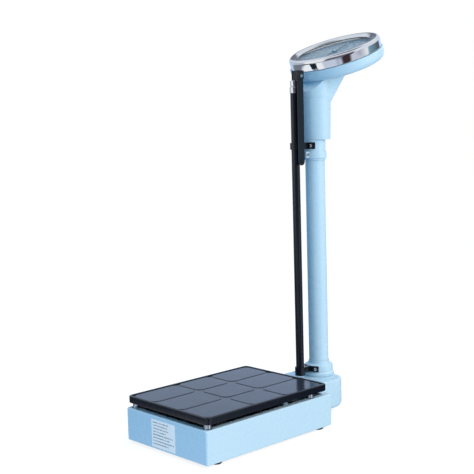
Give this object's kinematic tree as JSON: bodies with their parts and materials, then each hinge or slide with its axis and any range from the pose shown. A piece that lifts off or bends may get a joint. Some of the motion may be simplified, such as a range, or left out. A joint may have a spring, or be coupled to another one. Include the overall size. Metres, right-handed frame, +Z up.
{
  "type": "mechanical dial height and weight scale",
  "caption": "Upright floor scale: a platform on a box base, a column with a tilted round dial, and a telescopic height rod with a folding arm.",
  "frame": {"origin": "middle of the object's footprint, on the floor under the rubber feet", "axes": "+Z is up; +Y runs from the platform's front edge toward the column; the person stands on the platform facing +Y; +X is to that person's right"},
  "size_m": [0.275, 0.7037, 0.9395],
  "materials": {
    "blue_paint": "glossy pale blue enamel",
    "black_paint": "glossy black enamel",
    "black_mat": "smooth shiny black sheet",
    "black_plastic": "moulded black plastic",
    "chrome": "bright chrome plate",
    "steel": "plain zinc-plated steel",
    "cast": "grey cast iron",
    "brass": "machined brass",
    "rubber": "black rubber",
    "dial_face": "white printed sheet",
    "pointer_paint": "black painted sheet",
    "glass": "clear flat glass",
    "label": "printed label"
  },
  "bodies": {
    "base": {"base_housing": "blue_paint", "base_floor_plate": "black_paint", "foot_front_left": "rubber", "foot_front_right": "rubber", "foot_rear_left": "rubber", "foot_rear_right": "rubber", "rating_label": "label", "column_seat": "blue_paint", "column_flange": "blue_paint", "column_tube": "blue_paint", "column_collar": "blue_paint", "collar_pinch_screw": "steel", "neck_sleeve": "blue_paint", "head_housing": "blue_paint", "dial_bezel": "chrome", "dial_plate": "dial_face", "glass_gasket": "rubber", "dial_glass": "glass", "movement_frame": "brass", "spring_hanger": "steel", "main_spring_left": "steel", "main_spring_right": "steel", "crank_pivot_pin": "steel", "front_fulcrum_rail": "cast", "rear_fulcrum_rail": "cast", "lower_rod_bracket": "black_paint", "upper_rod_bracket": "black_paint", "lower_bracket_screw_left": "chrome", "lower_bracket_screw_right": "chrome", "upper_bracket_screw_left": "chrome", "upper_bracket_screw_right": "chrome", "rod_outer_tube": "black_paint", "outer_ferrule": "chrome"},
    "platform": {"platform_cover": "black_paint", "platform_mat": "black_mat", "platform_post_front_left": "chrome", "platform_post_front_right": "chrome", "platform_post_rear_left": "chrome", "platform_post_rear_right": "chrome", "platform_frame": "steel"},
    "long_lever": {"long_lever": "cast", "long_fulcrum_shaft": "steel", "long_load_shaft": "steel", "lever_link": "steel"},
    "short_lever": {"short_lever": "cast", "short_fulcrum_shaft": "steel", "short_load_shaft": "steel"},
    "pull_rod": {"pull_rod": "steel", "draw_bar": "steel"},
    "bell_crank": {"bell_crank": "brass"},
    "rack": {"rack": "brass"},
    "pointer": {"pointer": "pointer_paint", "pinion_shaft": "brass"},
    "zero_knob": {"zero_knob": "black_plastic"},
    "rod_middle": {"rod_middle_tube": "black_paint", "middle_ferrule": "chrome"},
    "rod_inner": {"rod_inner_tube": "black_paint", "arm_hinge_block": "black_paint", "arm_pivot_screw": "chrome"},
    "arm": {"measuring_arm": "black_paint"}
  },
  "joints": [
    {"name": "platform_travel", "type": "slide", "parent": "base", "child": "platform", "axis": [0, 0, -1], "range_m": [0, 0.003], "stiffness_N_per_m": 520000, "springref_m": -0.0002},
    {"name": "long_lever_tilt", "type": "hinge", "parent": "base", "child": "long_lever", "pos_m": [0, -0.3333, 0.058], "axis": [-1, 0, 0], "range_deg": [0, 2.88]},
    {"name": "short_lever_tilt", "type": "hinge", "parent": "base", "child": "short_lever", "pos_m": [0, 0.0117, 0.028], "axis": [1, 0, 0], "range_deg": [0, 2.88]},
    {"name": "pull_rod_travel", "type": "slide", "parent": "base", "child": "pull_rod", "axis": [0, 0, -1], "range_m": [0, 0.02416], "deforming": ["main_spring_left", "main_spring_right"]},
    {"name": "bell_crank_swing", "type": "hinge", "parent": "base", "child": "bell_crank", "pos_m": [0, 0.18234, 0.81065], "axis": [1, 0, 0], "range_deg": [0, 42.34]},
    {"name": "rack_travel", "type": "slide", "parent": "base", "child": "rack", "axis": [0, -0.9379, -0.3469], "range_m": [0, 0.022]},
    {"name": "pointer_turn", "type": "hinge", "parent": "base", "child": "pointer", "pos_m": [0, 0.2346, 0.8769], "axis": [0, 0.3469, -0.9379], "range_deg": [0, 360.1]},
    {"name": "zero_knob_turn", "type": "hinge", "parent": "base", "child": "zero_knob", "pos_m": [-0.062, 0.21115, 0.86823], "axis": [0, -0.3469, 0.9379], "range_deg": [-180, 180]},
    {"name": "rod_middle_slide", "type": "slide", "parent": "base", "child": "rod_middle", "axis": [0, 0, 1], "range_m": [0, 0.59]},
    {"name": "rod_inner_slide", "type": "slide", "parent": "rod_middle", "child": "rod_inner", "axis": [0, 0, 1], "range_m": [0, 0.59]},
    {"name": "arm_swing", "type": "hinge", "parent": "rod_inner", "child": "arm", "pos_m": [0.0182, 0.0822, 0.825], "axis": [-1, 0, 0], "range_deg": [0, 90]}
  ],
  "couplings": [
    {"joint": "long_lever_tilt", "follows": "platform_travel", "rad_per_m": 16.667},
    {"joint": "short_lever_tilt", "follows": "platform_travel", "rad_per_m": 16.667},
    {"joint": "pull_rod_travel", "follows": "platform_travel", "ratio": 8.05},
    {"joint": "bell_crank_swing", "follows": "platform_travel", "rad_per_m": 246.18},
    {"joint": "rack_travel", "follows": "platform_travel", "ratio": 7.3304},
    {"joint": "pointer_turn", "follows": "platform_travel", "rad_per_m": 2094.4}
  ]
}
